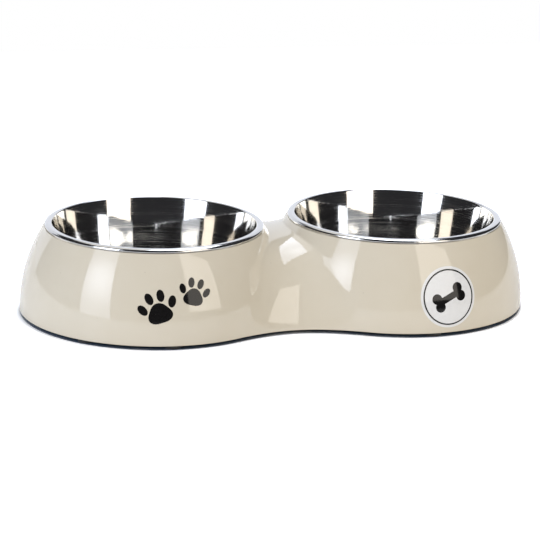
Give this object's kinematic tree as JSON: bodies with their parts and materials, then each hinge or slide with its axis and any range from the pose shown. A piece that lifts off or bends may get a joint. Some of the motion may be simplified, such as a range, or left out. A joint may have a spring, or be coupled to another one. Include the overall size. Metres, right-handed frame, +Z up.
{
  "type": "double pet bowl",
  "caption": "Twin pet feeder: a glossy peanut-shaped moulded shell on rubber feet, with round stainless steel bowls that hang by their flanges and lift out.",
  "frame": {"origin": "on the floor, under the middle of the shell, between the two bowls", "axes": "+X along the length towards the right bowl, +Y from the front to the back, +Z up"},
  "size_m": [0.332, 0.172, 0.0592],
  "materials": {
    "moulded_shell": "glossy moulded melamine, warm beige with fine dark flecks",
    "bowl_steel": "polished stainless steel with a faint turned grain",
    "foot_rubber": "matt black moulded rubber"
  },
  "bodies": {
    "shell": {"shell": "moulded_shell", "foot_front_left_inner": "foot_rubber", "foot_front_left_outer": "foot_rubber", "foot_back_left_inner": "foot_rubber", "foot_back_left_outer": "foot_rubber", "foot_front_right_inner": "foot_rubber", "foot_front_right_outer": "foot_rubber", "foot_back_right_inner": "foot_rubber", "foot_back_right_outer": "foot_rubber"},
    "left_bowl": {"left_bowl": "bowl_steel"},
    "right_bowl": {"right_bowl": "bowl_steel"}
  },
  "joints": [
    {"name": "left_bowl_lift", "type": "slide", "parent": "shell", "child": "left_bowl", "axis": [0, 0, 1], "range_m": [0, 0.06]},
    {"name": "right_bowl_lift", "type": "slide", "parent": "shell", "child": "right_bowl", "axis": [0, 0, 1], "range_m": [0, 0.06]}
  ]
}
